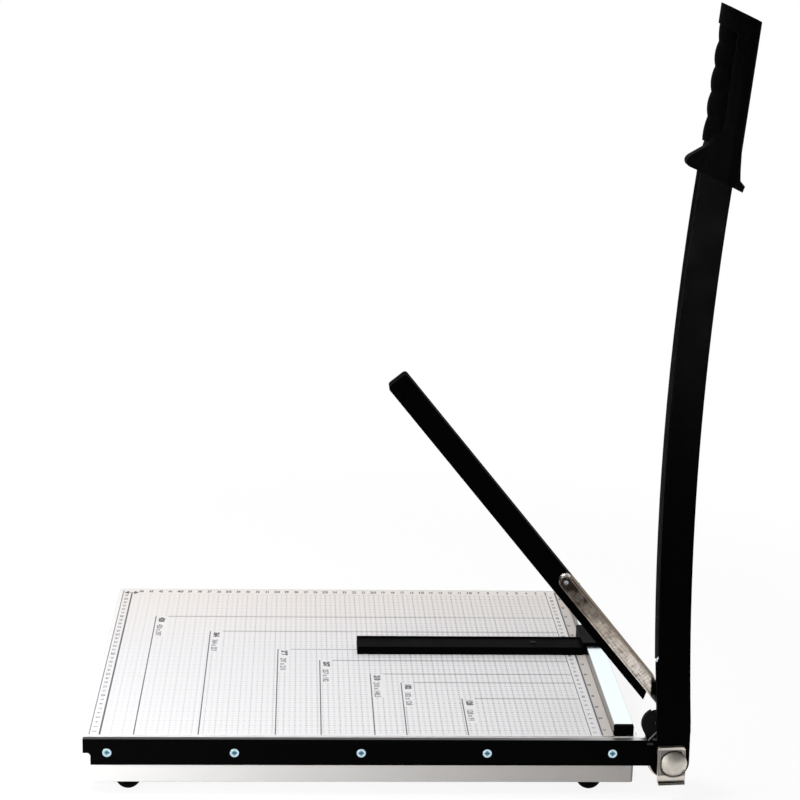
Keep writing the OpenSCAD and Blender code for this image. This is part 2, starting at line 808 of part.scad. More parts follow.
module clamp_pin() {
  color("Gray") {
    rod(cx, cz, lever_y - 1.2, 1, 9);
    rod(cx, cz, lever_y - 1.2, yc + bracket_y - lever_y + 1.2, 5);
    rod(cx, cz, lever_y - 1.2, yc + bracket_y + bracket_t + 1.6 - lever_y + 1.2, 4);
    rod(cx, cz, yc + bracket_y + bracket_t, 1.6, 5.6);
  }
}

module clamp_bush() {
  color("Goldenrod") clamp_pose() difference() {
    rod(0, 0, lever_y, lever_t, 7);
    rod(0, 0, lever_y - 1, lever_t + 2, 5 + run_gap);
  }
}

// The torsion spring: one unbroken tube from leg to leg
reach = norm([leg_x, leg_z]);
leg_turn = atan2(-leg_z, -leg_x) + asin(coil_r / reach);
leg_l = sqrt(reach * reach - coil_r * coil_r);
turn_0 = leg_turn + 90;
turn_all = turn_0 - (180 - clamp_up + 90 - 360) + 360;
curl_n = floor(turn_all / 45);

// A point of the curls, at turn t clockwise from the first leg
function curl(t) =
  [coil_r * cos(turn_0 - t), coil_y + coil_pitch * t / 360, coil_r * sin(turn_0 - t)];

path = concat(
  [[leg_x, coil_y, leg_z]],
  [for (k = [1, 2]) [leg_x + cos(leg_turn) * leg_l * k / 3, coil_y, leg_z + sin(leg_turn) * leg_l * k / 3]],
  [for (i = [0 : curl_n]) curl(45 * i)],
  [for (k = [0.5, 8, 16]) curl(turn_all) + k * [-cos(clamp_up), 0, sin(clamp_up)]]
);

// Least gap between stretches of the wire more than half a curl apart
near = [for (i = [0 : len(path) - 1], j = [i + 5 : 1 : len(path) - 1]) norm(path[i] - path[j])];
echo(spring_least_gap = min(near) - 2 * wire_r);

function ring(i) = let (
  a = path[max(i - 1, 0)], b = path[min(i + 1, len(path) - 1)],
  t = (b - a) / norm(b - a), s = cross([0, 1, 0], t), n = s / norm(s), u = cross(t, n))
  [for (k = [0 : 5]) path[i] + wire_r * (cos(60 * k) * n + sin(60 * k) * u)];

module clamp_spring() {
  n = len(path);
  points = [for (i = [0 : n - 1]) each ring(i)];
  sides = [for (i = [0 : n - 2], k = [0 : 5])
    [i * 6 + k, i * 6 + (k + 1) % 6, (i + 1) * 6 + (k + 1) % 6, (i + 1) * 6 + k]];
  first = [[for (k = [5 : -1 : 0]) k]];
  last = [[for (k = [0 : 5]) (n - 1) * 6 + k]];
  color("Gray") translate([cx, 0, cz]) polyhedron(points = points, faces = concat(first, sides, last));
}

// Back gauge

module gauge_bar() {
  x1 = xr - 3.5;
  x0 = x1 - gauge_l;
  z0 = zt + 0.3;
  z1 = zt + gauge_h;
  color("Black") difference() {
    block([x0, gy, z0], [x1, gy + gauge_d, z1]);
    block([x0 + 1.5, gy + 1.5, z0 - 1], [x1 + 1, gy + gauge_d - 1.5, z1 - 1.5]);
    stick(xr - 50, gy + gauge_d / 2, z1 - 3, 5, 1.6);
  }
}

module gauge_slider() {
  x0 = xr - 3.5;
  x1 = xr + rail_w + 2.9;
  y0 = gy + 1.5;
  z1 = zt + rail_h + 0.3;
  color("Black") difference() {
    union() {
      block([x0, y0, z1], [x1, y0 + slider_l, z1 + slider_t]);
      block([x0, y0, zt + 0.4], [xr - 0.5, y0 + slider_l, z1 + 1]);
      block([xr + rail_w + 0.5, y0, zt + 0.4], [x1, y0 + slider_l, z1 + 1]);
      // The tongue inside the gauge bar
      block([xr - 64, gy + 1.8, zt + 0.6], [x0 + 1, gy + gauge_d - 1.8, zt + gauge_h - 1.6]);
    }
    block([xr + 3.5, y0 + 12, z1 - 1], [xr + 13.5, y0 + slider_l - 12, z1 + 1.8]);
    stick(xr - 50, gy + gauge_d / 2, zt - 1, 12, 1.3);
  }
}

module gauge_screw() {
  z1 = zt + gauge_h;
  color("Gray") translate([xr - 50, gy + gauge_d / 2, z1]) difference() {
    union() {
      cylinder(h = 0.8, r = 2.6);
      translate([0, 0, -6]) cylinder(h = 6.2, r = 1.27);
    }
    translate([0, 0, 0.8]) cross(2.6, 0.7, 0.6);
  }
}

module gauge_spring() {
  y0 = gy + 1.5;
  z0 = zt + rail_h + 0.3;
  color("Silver")
    block([xr + 4.2, y0 + 13, z0 + 1.2], [xr + 12.8, y0 + slider_l - 13, z0 + 1.5]);
}

module gauge_pad() {
  y0 = gy + 1.5;
  z0 = zt + rail_h;
  color("Ivory")
    block([xr + 3.8, y0 + 12.5, z0 + 0.1], [xr + 13.2, y0 + slider_l - 12.5, z0 + 1.5]);
}

base_shell();
base_rib();
top_plate();
rubber_foot();
foot_screw();
foot_nut();
fixed_blade();
bar_screw();
bar_nut();
paper_rail();
rail_cap_front();
rail_cap_back();
rail_screw();
hinge_bracket();
bracket_screw();
bracket_nut();
pivot_rim();
pivot_bolt();
tension_plate();
arm_washer();
pivot_bush();
cup_spring();
back_washer();
pivot_nut();
clamp_pin();
clamp_spring();
clamp_bush();
knife_arm();
moving_blade();
blade_rivet();
grip_front();
grip_back();
grip_insert();
grip_screw();
clamp_lever();
clamp_bar();
clamp_rivet();
clamp_pad();
gauge_bar();
gauge_slider();
gauge_screw();
gauge_spring();
gauge_pad();
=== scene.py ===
"""Paper cutter: materials, print, small forms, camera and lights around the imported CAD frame."""
import json
import math

import bmesh
import bpy
from mathutils import Matrix, Vector


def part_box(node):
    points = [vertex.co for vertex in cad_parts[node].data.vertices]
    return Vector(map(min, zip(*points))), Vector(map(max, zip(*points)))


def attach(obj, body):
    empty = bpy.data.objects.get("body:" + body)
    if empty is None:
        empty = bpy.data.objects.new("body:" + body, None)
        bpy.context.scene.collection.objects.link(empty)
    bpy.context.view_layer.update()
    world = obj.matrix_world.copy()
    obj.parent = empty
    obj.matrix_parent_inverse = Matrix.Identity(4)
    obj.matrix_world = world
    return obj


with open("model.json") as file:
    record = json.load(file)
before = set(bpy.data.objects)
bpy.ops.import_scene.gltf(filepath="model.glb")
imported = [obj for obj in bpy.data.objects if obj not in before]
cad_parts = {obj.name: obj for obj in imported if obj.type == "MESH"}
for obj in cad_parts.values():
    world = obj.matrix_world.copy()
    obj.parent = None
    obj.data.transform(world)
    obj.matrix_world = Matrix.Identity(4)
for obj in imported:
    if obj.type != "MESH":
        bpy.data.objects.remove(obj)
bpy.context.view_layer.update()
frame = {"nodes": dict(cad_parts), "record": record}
nodes = frame["nodes"]
scene = bpy.context.scene
scene.view_settings.view_transform = "Standard"

# Frame of the printed board: zero at the rail's left face and at the cutting edge
MM_PER_M = 1000
RAIL_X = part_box("paper_rail")[0][0]
EDGE_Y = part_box("fixed_blade")[0][1]
BOARD_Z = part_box("top_plate")[1][2]
BOARD_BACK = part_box("top_plate")[1][1]
STRIP_LEFT = -10.0

# The arm's cutting side at the top of its lug, which ends a little below the blade
BLADE_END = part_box("moving_blade")[0][2]
LUG_TOP = BLADE_END - 0.004
ARM_EDGE = min(v.co.x for v in nodes["knife_arm"].data.vertices if abs(v.co.z - LUG_TOP) < 0.0001)

# The clamp's pin, and how far the clamp leans back when it is raised
CLAMP_HINGE = next(j for j in frame["record"]["behaviour"]["joints"] if j["name"] == "clamp_hinge")
CLAMP_PIN = Vector(CLAMP_HINGE["pos_m"])
LEAN = math.radians(CLAMP_HINGE["range_deg"][1])


# Shader helpers

def shader_of(material):
    """A material's node tree and its shader"""
    tree = material.node_tree
    return tree, tree.nodes["Principled BSDF"]


def new_material(name):
    m = bpy.data.materials.new(name)
    m.use_nodes = True
    return (m, *shader_of(m))


def node(tree, kind, **values):
    """A node with values for its sockets, or for its settings where no socket has that name"""
    n = tree.nodes.new(kind)
    for key, value in values.items():
        if key in n.inputs:
            n.inputs[key].default_value = value
        else:
            setattr(n, key, value)
    return n


def link(tree, a, b):
    tree.links.new(a, b)


def ramp(tree, source, stops):
    """A colour along a value; a stop with a plain number is grey"""
    r = node(tree, "ShaderNodeValToRGB")
    e = r.color_ramp.elements
    while len(e) < len(stops):
        e.new(0.5)
    for element, (place, colour) in zip(e, stops):
        if isinstance(colour, (int, float)):
            colour = (colour, colour, colour)
        element.position = place
        element.color = (*colour, 1)
    link(tree, source, r.inputs["Fac"])
    return r.outputs["Color"]


def mapped(tree, vector, scale, turn=(0, 0, 0)):
    m = node(tree, "ShaderNodeMapping", Scale=scale, Rotation=turn)
    link(tree, vector, m.inputs["Vector"])
    return m.outputs["Vector"]


def coords(tree, scale=(1, 1, 1), turn=(0, 0, 0)):
    return mapped(tree, node(tree, "ShaderNodeTexCoord").outputs["Object"], scale, turn)


def axes(tree, vector):
    """The X, Y and Z of a vector"""
    n = node(tree, "ShaderNodeSeparateXYZ")
    link(tree, vector, n.inputs[0])
    return n.outputs


def facing(tree):
    """The X, Y and Z of the surface's normal"""
    return axes(tree, node(tree, "ShaderNodeTexCoord").outputs["Normal"])


def noise(tree, vector, scale, detail=4.0, rough=0.55):
    n = node(tree, "ShaderNodeTexNoise", Scale=scale, Detail=detail, Roughness=rough)
    link(tree, vector, n.inputs["Vector"])
    return n.outputs["Fac"]


def calc(tree, operation, a, b=None, clamp=False):
    """A math node on sockets or plain numbers"""
    n = node(tree, "ShaderNodeMath", operation=operation, use_clamp=clamp)
    for i, v in enumerate((a, b)):
        if v is None:
            continue
        if isinstance(v, (int, float)):
            n.inputs[i].default_value = v
        else:
            link(tree, v, n.inputs[i])
    return n.outputs[0]


def add(tree, a, b):
    return calc(tree, "ADD", a, b)


def sub(tree, a, b):
    return calc(tree, "SUBTRACT", a, b)


def mul(tree, a, b):
    return calc(tree, "MULTIPLY", a, b)


def share(tree, value, low, high):
    """Where a value lies on the way from low to high"""
    return calc(tree, "DIVIDE", sub(tree, value, low), high - low)


def length(tree, vector):
    n = node(tree, "ShaderNodeVectorMath", operation="LENGTH")
    link(tree, vector, n.inputs[0])
    return n.outputs["Value"]


def from_axis(tree, low, high):
    """Distance from the middle of a round part's box that lies along Y, in radii of that part"""
    near = node(tree, "ShaderNodeVectorMath", operation="SUBTRACT")
    link(tree, coords(tree, (1, 0, 1)), near.inputs[0])
    near.inputs[1].default_value = ((low[0] + high[0]) / 2, 0, (low[2] + high[2]) / 2)
    return calc(tree, "DIVIDE", length(tree, near.outputs[0]), (high[0] - low[0]) / 2)


def mix(tree, fac, a, b, blend="MIX"):
    n = node(tree, "ShaderNodeMix", data_type="RGBA", blend_type=blend)
    for socket, v in ((n.inputs[0], fac), (n.inputs[6], a), (n.inputs[7], b)):
        if isinstance(v, (int, float)):
            socket.default_value = v
        elif isinstance(v, tuple):
            socket.default_value = (*v, 1)
        else:
            link(tree, v, socket)
    return n.outputs[2]


def shade(tree, colour, tone):
    """A colour multiplied by a tone"""
    return mix(tree, 1.0, colour, tone, "MULTIPLY")


def mix_shader(tree, fac, a, b):
    n = node(tree, "ShaderNodeMixShader")
    for i, v in enumerate((fac, a, b)):
        link(tree, v, n.inputs[i])
    return n.outputs[0]


def rounded(tree, radius):
    """Normals of the piece as if its edges were round"""
    return node(tree, "ShaderNodeBevel", samples=6, Radius=radius).outputs["Normal"]


# Products of rounded and flat normal at which an edge is fully worn, for WORN_EDGE, and fully painted with edge
# light, for BRIGHT_EDGE; and at which it ends
WORN_EDGE = (0.86, 0.985)
BRIGHT_EDGE = (0.85, 0.985)


def edge_mask(tree, radius, low, high):
    """White along the piece's edges, from the difference of rounded and flat normals"""
    d = node(tree, "ShaderNodeVectorMath", operation="DOT_PRODUCT")
    link(tree, rounded(tree, radius), d.inputs[0])
    link(tree, node(tree, "ShaderNodeNewGeometry").outputs["Normal"], d.inputs[1])
    return ramp(tree, d.outputs["Value"], [(low, 1), (high, 0)])


def bump(tree, height, strength, distance, radius):
    """A fine relief on normals with rounded edges"""
    n = node(tree, "ShaderNodeBump", Strength=strength, Distance=distance)
    link(tree, height, n.inputs["Height"])
    link(tree, rounded(tree, radius), n.inputs["Normal"])
    return n.outputs["Normal"]


def dress(tree, shader, colour, rough, normal=None, level=None, metallic=0):
    """Give a shader its colour, roughness, relief and constant values"""
    link(tree, colour, shader.inputs["Base Color"])
    link(tree, rough, shader.inputs["Roughness"])
    if normal:
        link(tree, normal, shader.inputs["Normal"])
    if level is not None:
        shader.inputs["Specular IOR Level"].default_value = level
    shader.inputs["Metallic"].default_value = metallic


def colour_of(shader):
    return shader.inputs["Base Color"].links[0].from_socket


# Finishes that several slots share

def paint(name, colour, other, rough, peel, radius, wear, wear_amount, level=0.5):
    """Sprayed paint: soft patches, orange peel, and wear along the edges"""
    m, t, p = new_material(name)
    v = coords(t)
    base = mix(t, noise(t, v, 14, 5), colour, other)
    scuffs = ramp(t, noise(t, v, 260, 6, 0.7), [(0.5, 0), (0.68, 1)])
    worn = mul(t, edge_mask(t, radius * 1.6, *WORN_EDGE), scuffs)
    base = mix(t, mul(t, worn, wear_amount), base, wear)
    smear = ramp(t, noise(t, v, 45, 6, 0.65), [(0.3, rough - 0.06), (0.7, rough + 0.08)])
    relief = bump(t, noise(t, v, peel, 3), 0.35, 0.00006, radius)
    dress(t, p, base, smear, relief, level)
    return m


def metal(name, colour, other, rough, stretch=(1, 1, 1), scale=300.0, depth=0.00003, radius=0.0004, rim=None):
    """Plated or bare metal with lines along one direction; where rim gives a colour, the edges are painted in
    it, as a highlight where it is paler than the metal and as shade where it is darker
    """
    m, t, p = new_material(name)
    lines = noise(t, coords(t, stretch), scale, 5, 0.6)
    cloud = noise(t, coords(t), 60, 5)
    base = mix(t, ramp(t, cloud, [(0.35, 0), (0.7, 1)]), colour, other)
    # Painted edge light: the edges take the colour rim, paler for a highlight, darker for shade
    if rim:
        base = mix(t, mul(t, edge_mask(t, radius * 1.5, *BRIGHT_EDGE), 0.6), base, rim)
    smear = ramp(t, lines, [(0.25, rough - 0.08), (0.75, rough + 0.1)])
    dress(t, p, base, smear, bump(t, lines, 0.3, depth, radius), metallic=1)
    return m


def plastic(name, colour, other, rough, grain=900.0, depth=0.00008, level=0.4):
    """Moulded plastic with a fine spark texture and slightly paler edges"""
    m, t, p = new_material(name)
    v = coords(t)
    radius = 0.0008
    base = mix(t, noise(t, v, 30, 5), colour, other)
    pale = tuple(min(c * 3 + 0.01, 1) for c in other)
    base = mix(t, mul(t, edge_mask(t, radius * 1.4, *WORN_EDGE), 0.25), base, pale)
    relief = bump(t, noise(t, v, grain, 2), 0.5, depth, radius)
    smear = ramp(t, noise(t, v, 70, 5), [(0.3, rough - 0.07), (0.7, rough + 0.07)])
    dress(t, p, base, smear, relief, level)
    return m


def ink(name, colour, other, left_colour=None):
    """Screen-printed ink, a little uneven, which turns to a paler colour towards the left when one is given"""
    m, t, p = new_material(name)
    v = coords(t)
    base = mix(t, noise(t, v, 900, 4, 0.7), colour, other)
    if left_colour:
        left = sub(t, RAIL_X, axes(t, v)["X"])
        base = mix(t, ramp(t, left, [(0.12, 0), (0.42, 1)]), base, left_colour)
    dress(t, p, base, ramp(t, noise(t, v, 300, 3), [(0.3, 0.4), (0.7, 0.55)]))
    return m


BLACK = (0.0014, 0.0014, 0.0015)
SOFT_BLACK = (0.0022, 0.0022, 0.0024)
RUBBED = (0.05, 0.05, 0.053)


def black_paint(name, rough, level, wear, wear_amount, colour=BLACK, other=SOFT_BLACK):
    return paint(name, colour, other, rough, 420, 0.0005, wear, wear_amount, level)


# Finishes of single pieces

def board_material():
    """White enamel of the printed plate with faint handling smears, and a beige strip beside the rail that is
    painted shade and painted reflection of the rail
    """
    m, t, p = new_material("board_enamel")
    v = coords(t)
    at = axes(t, v)
    cloud = noise(t, v, 5, 5)
    base = mix(t, cloud, (0.885, 0.87, 0.885), (0.915, 0.90, 0.91))
    # The strip between the thick line and the rail: painted shade and painted reflection of the rail, in beige
    strip = calc(t, "GREATER_THAN", at["X"], RAIL_X + STRIP_LEFT / MM_PER_M)
    base = mix(t, strip, base, mix(t, cloud, (0.665, 0.615, 0.58), (0.705, 0.65, 0.615)))
    # Warmer towards the back
    warm = ramp(t, sub(t, at["Y"], BOARD_BACK - 0.16), [(0.0, 0), (0.09, 0.55), (0.16, 1)])
    base = mix(t, warm, base, mix(t, strip, (0.945, 0.885, 0.845), (0.72, 0.66, 0.62)))
    base = shade(t, base, ramp(t, noise(t, v, 1400, 2), [(0.35, 0.97), (0.65, 1)]))
    smears = noise(t, coords(t, (3, 1, 1)), 26, 7, 0.7)
    relief = bump(t, noise(t, v, 420, 3), 0.2, 0.00004, 0.0003)
    dress(t, p, base, ramp(t, smears, [(0.35, 0.4), (0.7, 0.54)]), relief, level=0.25)
    return m


def rail_material():
    """Drawn aluminium with lines along its length, bright on top, with its sides painted darker as shade"""
    m, t, p = new_material("rail_aluminium")
    side = calc(t, "ABSOLUTE", facing(t)["X"])
    lines = noise(t, coords(t, (60, 1, 60)), 60, 5, 0.6)
    top = mix(t, lines, (0.90, 0.985, 0.99), (0.86, 0.965, 0.985))
    # Painted shade: the faces that look sideways get a darker colour than the top
    side_shade = mix(t, noise(t, coords(t), 90, 5), (0.19, 0.187, 0.18), (0.29, 0.285, 0.275))
    smear = ramp(t, lines, [(0.25, 0.14), (0.75, 0.26)])
    relief = bump(t, lines, 0.25, 0.00003, 0.0005)
    dress(t, p, mix(t, side, top, side_shade), smear, relief, metallic=1)
    return m


def shell_material():
    """Off-white spray paint, with painted shade making it darker and warmer towards the pivot end"""
    m = paint("base_paint", (0.87, 0.865, 0.855), (0.90, 0.895, 0.885), 0.42, 650, 0.0011,
              wear=(0.5, 0.49, 0.48), wear_amount=0.35)
    t, p = shader_of(m)
    low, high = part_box("base_shell")
    along = share(t, axes(t, coords(t))["X"], low[0], high[0])
    # Painted shade: the light falls off towards the pivot end, so the paint gets darker and warmer there
    tone = ramp(t, along, [(0.1, 1), (1.0, (0.87, 0.83, 0.805))])
    link(t, shade(t, colour_of(p), tone), p.inputs["Base Color"])
    return m


def ground_top(name, part, black, stops):
    """Black paint with bare steel on top; stops give how bright the steel is along the part, a painted
    reflection where it changes
    """
    m = black_paint(name, 0.36, 0.009, RUBBED, 0.4, black, tuple(1.5 * c for c in black))
    t, p = shader_of(m)
    top = calc(t, "GREATER_THAN", facing(t)["Z"], 0.9)
    low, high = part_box(part)
    along = share(t, axes(t, coords(t))["X"], low[0], high[0])
    lines = ramp(t, noise(t, coords(t, (1, 40, 1)), 40, 5), [(0.3, 0.75), (0.7, 1)])
    # Painted reflection: the steel's brightness changes along the part as the stops give
    steel = shade(t, ramp(t, along, stops), lines)
    link(t, mix(t, top, colour_of(p), steel), p.inputs["Base Color"])
    link(t, top, p.inputs["Metallic"])
    return m


def rivet_material():
    """A bright dome whose outer part is painted dark as shade round its highlight"""
    m = metal("bright_rivet", (0.90, 0.93, 0.95), (0.82, 0.86, 0.90), 0.2, scale=420)
    t, p = shader_of(m)
    low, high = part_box("clamp_rivet")
    # Painted shade and highlight: the outer part of the head is darkened so only a small bright spot stays in
    # the middle
    tone = ramp(t, from_axis(t, low, high), [(0.48, 1), (0.66, (0.16, 0.13, 0.115))])
    link(t, shade(t, colour_of(p), tone), p.inputs["Base Color"])
    return m


SCREW_STEPS = 4


def screw_material():
    """Blue zinc, with the shade of the cross recess in the middle of each head"""
    m, t, p = new_material("blue_zinc")
    low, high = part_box("bar_screw")
    radius = (high[2] - low[2]) / 2
    first, last = low[0] + radius, high[0] - radius
    pitch = (last - first) / SCREW_STEPS
    v = coords(t)
    at = axes(t, v)
    along = calc(t, "DIVIDE", sub(t, at["X"], first - pitch / 2), pitch)
    u = mul(t, sub(t, calc(t, "FRACT", along), 0.5), pitch / radius)
    w = calc(t, "DIVIDE", sub(t, at["Z"], (low[2] + high[2]) / 2), radius)
    out = calc(t, "SQRT", add(t, mul(t, u, u), mul(t, w, w)))
    out = add(t, out, mul(t, noise(t, v, 900, 3), 0.16))
    base = ramp(t, out, [(0.18, (0.07, 0.16, 0.21)), (0.5, (0.22, 0.40, 0.50)),
                         (0.72, (0.56, 0.77, 0.88)), (1.0, (0.55, 0.70, 0.78))])
    smear = ramp(t, noise(t, v, 500, 4), [(0.3, 0.18), (0.7, 0.34)])
    dress(t, p, base, smear, bump(t, noise(t, v, 700, 3), 0.2, 0.00003, 0.0003), metallic=1)
    return m


def plate_material():
    """Nickel, with painted highlight on its edges and lip, painted shade on its underside and in bands across
    its face, and a painted shadow in the ring round the dome
    """
    m = metal("plate_nickel", (0.84, 0.79, 0.72), (0.62, 0.575, 0.515), 0.36, stretch=(1, 1, 30), scale=80,
              radius=0.0005)
    t, p = shader_of(m)
    v = coords(t)
    low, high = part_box("pivot_bolt")
    out = add(t, from_axis(t, low, high), mul(t, noise(t, v, 400, 4), 0.12))
    # Painted shadow of the dome on the plate round it
    ring = ramp(t, sub(t, out, 1.0), [(0.10, 0.05), (0.26, 1)])
    low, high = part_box("tension_plate")
    up = share(t, axes(t, v)["Z"], low[2], high[2])
    # Painted light and shade in bands up the plate: dark underside, pale lip, dark line above it, darker face,
    # paler top
    lip = ramp(t, up, [(0.07, 0.07), (0.085, 1), (0.22, 1), (0.25, 0.16), (0.32, 0.3), (0.9, 0.26), (0.95, 0.9)])
    base = shade(t, colour_of(p), shade(t, ring, lip))
    # Painted highlight along the plate's edges
    rim = mul(t, edge_mask(t, 0.0012, *BRIGHT_EDGE), 0.7)
    link(t, mix(t, rim, base, (0.72, 0.66, 0.58)), p.inputs["Base Color"])
    return m


def lever_material():
    """Nickel over a strip brushed both ways, painted pale low down and dark towards its far end as a reflection,
    with a painted highlight on its edges, and dark beside the arm
    """
    m, t, p = new_material("lever_nickel")
    at = axes(t, coords(t))
    low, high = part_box("clamp_lever")[0][2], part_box("clamp_lever")[1][2]
    turned = coords(t, turn=(0, -LEAN, 0))
    brushed = [noise(t, mapped(t, turned, stretch), 110, 4, 0.6) for stretch in ((1.0, 1, 9.0), (9.0, 1, 1.6))]
    weave = mul(t, *brushed)
    patch = mul(t, sub(t, noise(t, turned, 42, 3), 0.5), 0.55)
    up = add(t, share(t, at["Z"], low, high), patch)
    # Painted reflection up the lever: pale low down, brightest in the middle, dark towards the far end
    base = ramp(t, up, [(0.2, (0.70, 0.655, 0.59)), (0.5, (0.95, 0.87, 0.79)), (0.70, (0.76, 0.65, 0.55)),
                        (0.86, (0.05, 0.037, 0.029))])
    base = shade(t, base, ramp(t, weave, [(0.15, 0.42), (0.24, 0.84), (0.36, 1)]))
    # Painted highlight along the lever's edges
    base = mix(t, mul(t, edge_mask(t, 0.0009, *BRIGHT_EDGE), 0.6), base, (0.66, 0.54, 0.45))
    # The dark end beside the arm, with a ragged border
    ragged = mul(t, sub(t, noise(t, turned, 700, 3), 0.5), 0.002)
    inside = sub(t, add(t, at["X"], ragged), ARM_EDGE - 0.0021)
    inside = calc(t, "DIVIDE", inside, 0.0007, clamp=True)
    above = calc(t, "DIVIDE", sub(t, at["Z"], LUG_TOP - 0.0385), 0.008, clamp=True)
    base = mix(t, mul(t, inside, above), base, (0.004, 0.0034, 0.003))
    smear = ramp(t, weave, [(0.15, 0.4), (0.4, 0.22)])
    dress(t, p, base, smear, bump(t, weave, 0.4, 0.00006, 0.0004), metallic=1)
    return m


def lever_edge_material():
    """Nickel of the lever's turned edge, a darker copy painted as shade, whose reflection stays weak at a low
    angle
    """
    m = metal("lever_edge", (0.27, 0.235, 0.20), (0.20, 0.175, 0.15), 0.3, stretch=(1, 40, 1), scale=40)
    shader_of(m)[1].inputs["Specular Tint"].default_value = (0.47, 0.40, 0.34, 1)
    return m


MATERIALS = {
    "base_paint": shell_material(),
    "board": board_material(),
    # The zinc's rim colour is a painted highlight on its edges
    "zinc": metal("zinc_plate", (0.70, 0.76, 0.82), (0.60, 0.66, 0.74), 0.26, scale=420, rim=(0.9, 0.94, 1)),
    "rubber_black": plastic("rubber", (0.0012, 0.0012, 0.0012), (0.002, 0.002, 0.002), 0.62, grain=600,
                            level=0.008),
    "black_paint": black_paint("black_paint", 0.36, 0.009, RUBBED, 0.4),
    "rail": rail_material(),
    "black_plastic": plastic("black_plastic", BLACK, (0.0026, 0.0026, 0.0028), 0.42, level=0.014),
    "grip_soft": plastic("grip_soft", (0.0016, 0.0016, 0.0017), (0.0028, 0.0028, 0.003), 0.55, grain=500,
                         depth=0.00016, level=0.006),
    # The nickel's rim colour is a painted highlight on its edges
    "nickel": metal("nickel_plate", (0.60, 0.54, 0.48), (0.50, 0.44, 0.39), 0.2, stretch=(1, 1, 40), scale=70,
                    rim=(0.84, 0.8, 0.75)),
    # The blade's rim colour is a painted highlight on its edges
    "blade_steel": metal("blade_steel", (0.017, 0.017, 0.018), (0.010, 0.010, 0.011), 0.34,
                         stretch=(1, 1, 60), scale=30, rim=(0.06, 0.06, 0.063)),
    "bearing_bronze": metal("bearing_bronze", (0.62, 0.45, 0.22), (0.5, 0.36, 0.18), 0.34, scale=250),
    "slide_pad": plastic("slide_pad", (0.78, 0.77, 0.73), (0.72, 0.71, 0.67), 0.5),
}
GRIP = plastic("grip_plastic", (0.0026, 0.0026, 0.0027), (0.0042, 0.0042, 0.0044), 0.5, level=0.004)
# Pieces whose finish departs from their slot
SPECIAL = {
    "grip_front": GRIP,
    "grip_back": GRIP,
    "clamp_lever": lever_material(),
    "clamp_rivet": rivet_material(),
    "gauge_screw": plastic("black_screw", (0.018, 0.018, 0.019), (0.023, 0.023, 0.024), 0.4, level=0.012),
    "bar_screw": screw_material(),
    # Painted reflection: the bar's steel top brightens towards its right end
    "fixed_blade": ground_top("bar_paint", "fixed_blade", BLACK,
                              [(0.0, 0.03), (0.65, 0.05), (0.8, 0.15), (0.9, 0.45), (0.94, 0.9)]),
    "hinge_bracket": ground_top("bracket_paint", "hinge_bracket", (0.013, 0.013, 0.0145),
                                [(0.0, 0.9), (1.0, 0.9)]),
    "gauge_bar": black_paint("gauge_paint", 0.42, 0.006, RUBBED, 0.3),
    "clamp_bar": black_paint("clamp_paint", 0.5, 0.002, (0.03, 0.03, 0.032), 0.2),
    "clamp_spring": metal("spring_steel", (0.20, 0.20, 0.20), (0.13, 0.13, 0.13), 0.3),
    "tension_plate": plate_material(),
    # The dome's darker rim colour is painted shade along its edge
    "pivot_bolt": metal("dome_nickel", (0.84, 0.80, 0.74), (0.60, 0.56, 0.50), 0.52, stretch=(9, 1, 1),
                        scale=110, depth=0.00006, rim=(0.30, 0.27, 0.24)),
}
SHADED_LEVER_EDGE = lever_edge_material()
# A paler copy of the nickel: a painted highlight on the end of the lever's rim
LEVER_END_HIGHLIGHT = metal("lever_end", (0.92, 0.86, 0.81), (0.80, 0.74, 0.68), 0.24)
INK = ink("board_ink", (0.060, 0.058, 0.075), (0.11, 0.105, 0.125))
MID_INK = ink("board_ink_mid", (0.21, 0.20, 0.22), (0.28, 0.265, 0.29))
FAINT_INK = ink("board_ink_faint", (0.29, 0.27, 0.30), (0.38, 0.355, 0.39), left_colour=(0.56, 0.55, 0.57))
DOT_INK = ink("board_ink_dots", (0.16, 0.14, 0.17), (0.25, 0.22, 0.26), left_colour=(0.66, 0.65, 0.67))

for row in frame["record"]["subparts"]:
    piece = nodes[row["node"]]
    piece.data.materials.clear()
    piece.data.materials.append(SPECIAL.get(row["node"], MATERIALS[row["material_slot"]]))


# Print on the board, in millimetres from the rail and the cutting edge

# Thickness added to the strokes of a number, as a share of its height
BOLD = 0.035
EXTRA_BOLD = 2 * BOLD
# Height of the first layer of ink over the plate, and from layer to layer
INK_LIFT, INK_LAYER = 0.00004, 0.00001
# Numbers that are read from the right
DOWN = -math.pi / 2
glyphs = {}


def glyph(words, weight):
    """A flat mesh of some digits, one unit high and centred"""
    key = (words, weight)
    if key not in glyphs:
        curve = bpy.data.curves.new("digits", "FONT")
        curve.body = words
        curve.align_x = "CENTER"
        curve.align_y = "CENTER"
        curve.resolution_u = 2
        curve.offset = weight
        holder = bpy.data.objects.new("digits", curve)
        scene.collection.objects.link(holder)
        deps = bpy.context.evaluated_depsgraph_get()
        glyphs[key] = bpy.data.meshes.new_from_object(holder.evaluated_get(deps))
        bpy.data.objects.remove(holder)
        bpy.data.curves.remove(curve)
    return glyphs[key]


